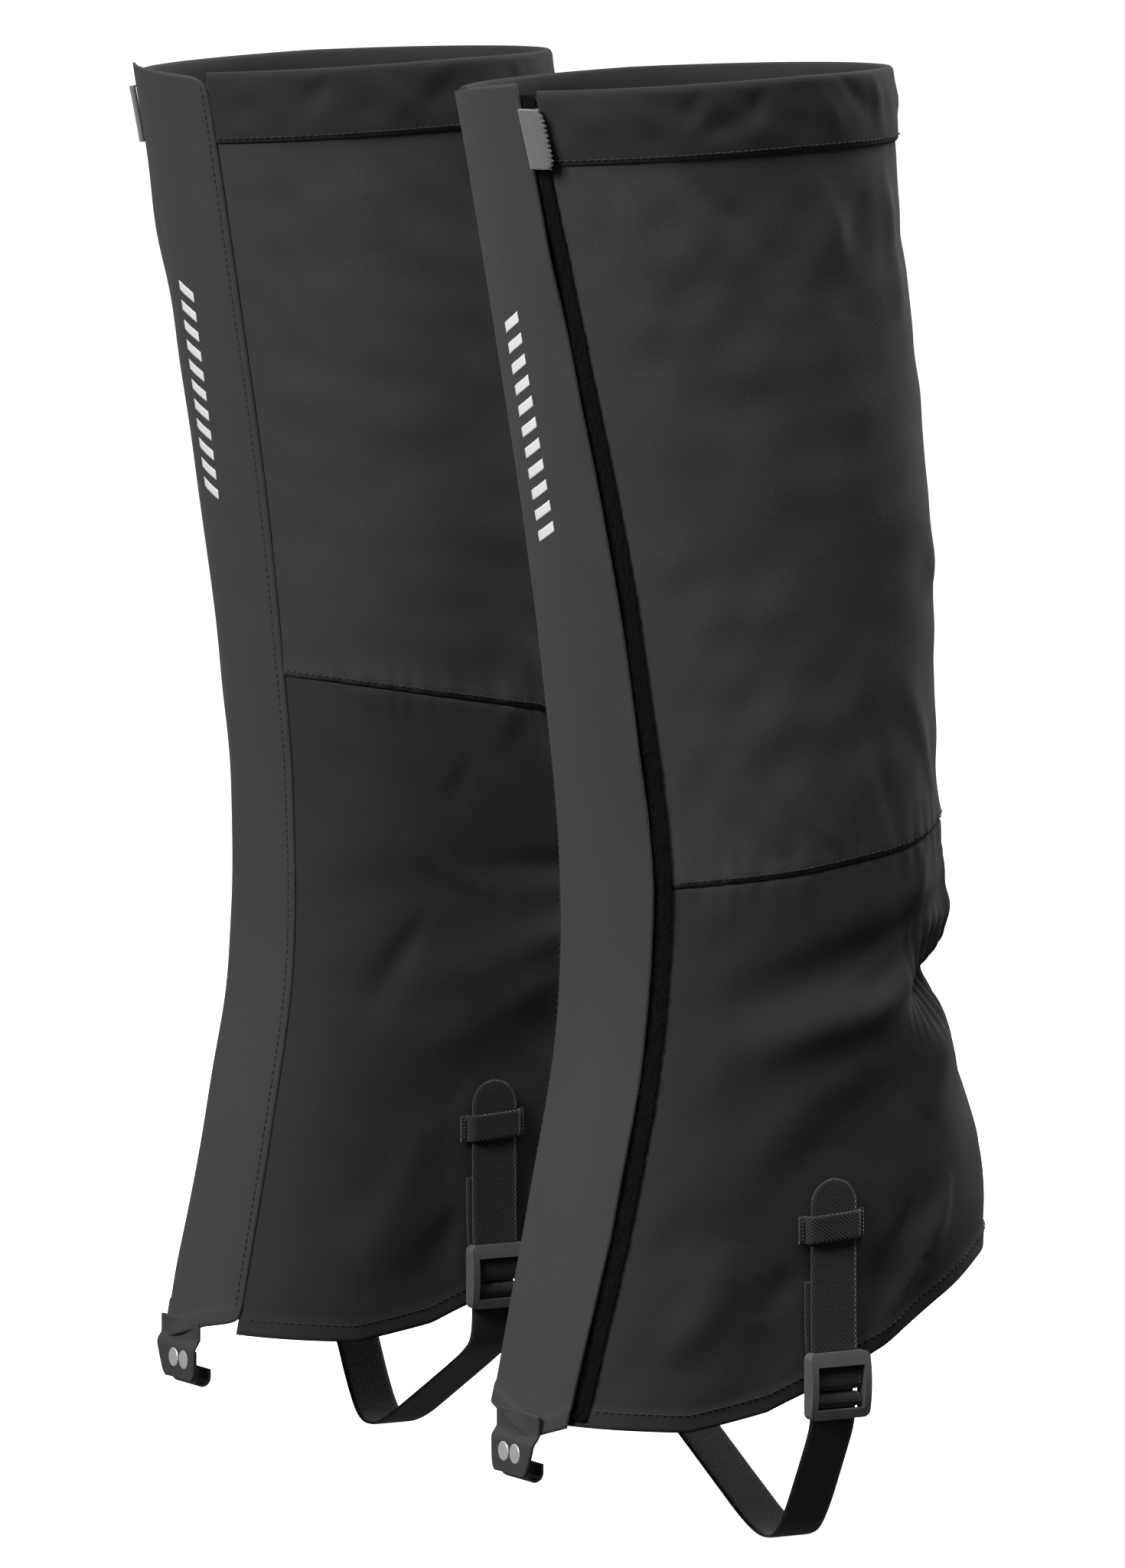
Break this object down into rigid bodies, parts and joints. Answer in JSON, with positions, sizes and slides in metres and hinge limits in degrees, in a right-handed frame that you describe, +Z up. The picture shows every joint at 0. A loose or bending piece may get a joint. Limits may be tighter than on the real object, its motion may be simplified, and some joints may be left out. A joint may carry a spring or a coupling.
{
  "type": "gaiters",
  "caption": "Knee-length fabric leg gaiters with a front storm flap, elastic ankle, lace hook and a buckled instep strap on each.",
  "frame": {"origin": "middle of the pair's footprint, at the height of the instep straps' lowest point", "axes": "+Z up the leg, -Y the way the wearer faces, +X the wearer's left"},
  "size_m": [0.3642, 0.1975, 0.512],
  "materials": {
    "upper_fabric": "matt ripstop weave",
    "lower_fabric": "matt dense weave",
    "cuff_fabric": "matt plain weave",
    "elastic": "ribbed elastic",
    "flap_fabric": "matt face fabric",
    "loop_tape": "brushed loop pile",
    "hook_tape": "moulded hook tape",
    "tab_fabric": "coated fabric",
    "webbing": "woven webbing",
    "buckle_plastic": "satin moulded plastic",
    "hook_metal": "dark satin steel",
    "rivet_metal": "satin steel"
  },
  "bodies": {
    "left_sleeve_body": {"left_upper_panel": "upper_fabric", "left_lower_panel": "lower_fabric", "left_top_cuff": "cuff_fabric", "left_cuff_facing": "cuff_fabric", "left_cuff_elastic": "elastic", "left_loop_strip": "loop_tape", "left_ankle_elastic": "elastic", "left_outer_anchor_webbing": "webbing", "left_inner_anchor_webbing": "webbing", "left_outer_keeper": "webbing", "left_inner_keeper": "webbing"},
    "left_flap_body": {"left_storm_flap": "flap_fabric", "left_hook_strip": "hook_tape"},
    "left_pull_tab_body": {"left_pull_tab": "tab_fabric"},
    "left_hook_tab_body": {"left_hook_tab": "flap_fabric", "left_lace_hook": "hook_metal", "left_hook_rivets": "rivet_metal"},
    "left_stirrup_body": {"left_instep_strap": "webbing"},
    "left_outer_buckle_body": {"left_outer_buckle": "buckle_plastic", "left_outer_webbing_turn": "webbing"},
    "left_outer_tail_body": {"left_outer_tail": "webbing"},
    "left_inner_buckle_body": {"left_inner_buckle": "buckle_plastic", "left_inner_webbing_turn": "webbing"},
    "left_inner_tail_body": {"left_inner_tail": "webbing"},
    "right_sleeve_body": {"right_upper_panel": "upper_fabric", "right_lower_panel": "lower_fabric", "right_top_cuff": "cuff_fabric", "right_cuff_facing": "cuff_fabric", "right_cuff_elastic": "elastic", "right_loop_strip": "loop_tape", "right_ankle_elastic": "elastic", "right_outer_anchor_webbing": "webbing", "right_inner_anchor_webbing": "webbing", "right_outer_keeper": "webbing", "right_inner_keeper": "webbing"},
    "right_flap_body": {"right_storm_flap": "flap_fabric", "right_hook_strip": "hook_tape"},
    "right_pull_tab_body": {"right_pull_tab": "tab_fabric"},
    "right_hook_tab_body": {"right_hook_tab": "flap_fabric", "right_lace_hook": "hook_metal", "right_hook_rivets": "rivet_metal"},
    "right_stirrup_body": {"right_instep_strap": "webbing"},
    "right_outer_buckle_body": {"right_outer_buckle": "buckle_plastic", "right_outer_webbing_turn": "webbing"},
    "right_outer_tail_body": {"right_outer_tail": "webbing"},
    "right_inner_buckle_body": {"right_inner_buckle": "buckle_plastic", "right_inner_webbing_turn": "webbing"},
    "right_inner_tail_body": {"right_inner_tail": "webbing"}
  },
  "joints": [
    {"name": "left_flap_open", "type": "hinge", "parent": "left_sleeve_body", "child": "left_flap_body", "pos_m": [0.0925, -0.0495, 0.275], "axis": [0, 0, -1], "range_deg": [0, 100]},
    {"name": "left_pull_tab_flex", "type": "hinge", "parent": "left_flap_body", "child": "left_pull_tab_body", "pos_m": [0.14295, -0.0906, 0.49], "axis": [0, 0, -1], "range_deg": [0, 60]},
    {"name": "left_hook_tab_flex", "type": "hinge", "parent": "left_flap_body", "child": "left_hook_tab_body", "pos_m": [0.1255, -0.0852, 0.0398], "axis": [1, 0, 0], "range_deg": [-45, 45]},
    {"name": "left_stirrup_adjust", "type": "slide", "parent": "left_sleeve_body", "child": "left_stirrup_body", "axis": [0, 0, 1], "range_m": [0, 0.012], "deforming": ["left_outer_anchor_webbing", "left_inner_anchor_webbing"]},
    {"name": "left_outer_tail_draw", "type": "slide", "parent": "left_sleeve_body", "child": "left_outer_tail_body", "axis": [0, 0, 1], "range_m": [0, 0.024]},
    {"name": "left_outer_buckle_tilt", "type": "hinge", "parent": "left_stirrup_body", "child": "left_outer_buckle_body", "pos_m": [0.1773, 0.0125, 0.0526], "axis": [0, 1, 0], "range_deg": [0, 12]},
    {"name": "left_inner_tail_draw", "type": "slide", "parent": "left_sleeve_body", "child": "left_inner_tail_body", "axis": [0, 0, 1], "range_m": [0, 0.024]},
    {"name": "left_inner_buckle_tilt", "type": "hinge", "parent": "left_stirrup_body", "child": "left_inner_buckle_body", "pos_m": [0.0617, 0.0125, 0.0606], "axis": [0, -1, 0], "range_deg": [0, 12]},
    {"name": "right_flap_open", "type": "hinge", "parent": "right_sleeve_body", "child": "right_flap_body", "pos_m": [-0.0925, -0.0495, 0.275], "axis": [0, 0, 1], "range_deg": [0, 100]},
    {"name": "right_pull_tab_flex", "type": "hinge", "parent": "right_flap_body", "child": "right_pull_tab_body", "pos_m": [-0.14295, -0.0906, 0.49], "axis": [0, 0, 1], "range_deg": [0, 60]},
    {"name": "right_hook_tab_flex", "type": "hinge", "parent": "right_flap_body", "child": "right_hook_tab_body", "pos_m": [-0.1255, -0.0852, 0.0398], "axis": [1, 0, 0], "range_deg": [-45, 45]},
    {"name": "right_stirrup_adjust", "type": "slide", "parent": "right_sleeve_body", "child": "right_stirrup_body", "axis": [0, 0, 1], "range_m": [0, 0.012], "deforming": ["right_outer_anchor_webbing", "right_inner_anchor_webbing"]},
    {"name": "right_outer_tail_draw", "type": "slide", "parent": "right_sleeve_body", "child": "right_outer_tail_body", "axis": [0, 0, 1], "range_m": [0, 0.024]},
    {"name": "right_outer_buckle_tilt", "type": "hinge", "parent": "right_stirrup_body", "child": "right_outer_buckle_body", "pos_m": [-0.1773, 0.0125, 0.0526], "axis": [0, -1, 0], "range_deg": [0, 12]},
    {"name": "right_inner_tail_draw", "type": "slide", "parent": "right_sleeve_body", "child": "right_inner_tail_body", "axis": [0, 0, 1], "range_m": [0, 0.024]},
    {"name": "right_inner_buckle_tilt", "type": "hinge", "parent": "right_stirrup_body", "child": "right_inner_buckle_body", "pos_m": [-0.0617, 0.0125, 0.0606], "axis": [0, 1, 0], "range_deg": [0, 12]},
    {"name": "pair_spacing", "type": "slide", "parent": "left_sleeve_body", "child": "right_sleeve_body", "axis": [-1, 0, 0], "range_m": [0, 0.1]}
  ],
  "couplings": [
    {"joint": "left_outer_tail_draw", "follows": "left_stirrup_adjust", "ratio": 2},
    {"joint": "left_inner_tail_draw", "follows": "left_stirrup_adjust", "ratio": 2},
    {"joint": "right_outer_tail_draw", "follows": "right_stirrup_adjust", "ratio": 2},
    {"joint": "right_inner_tail_draw", "follows": "right_stirrup_adjust", "ratio": 2}
  ]
}
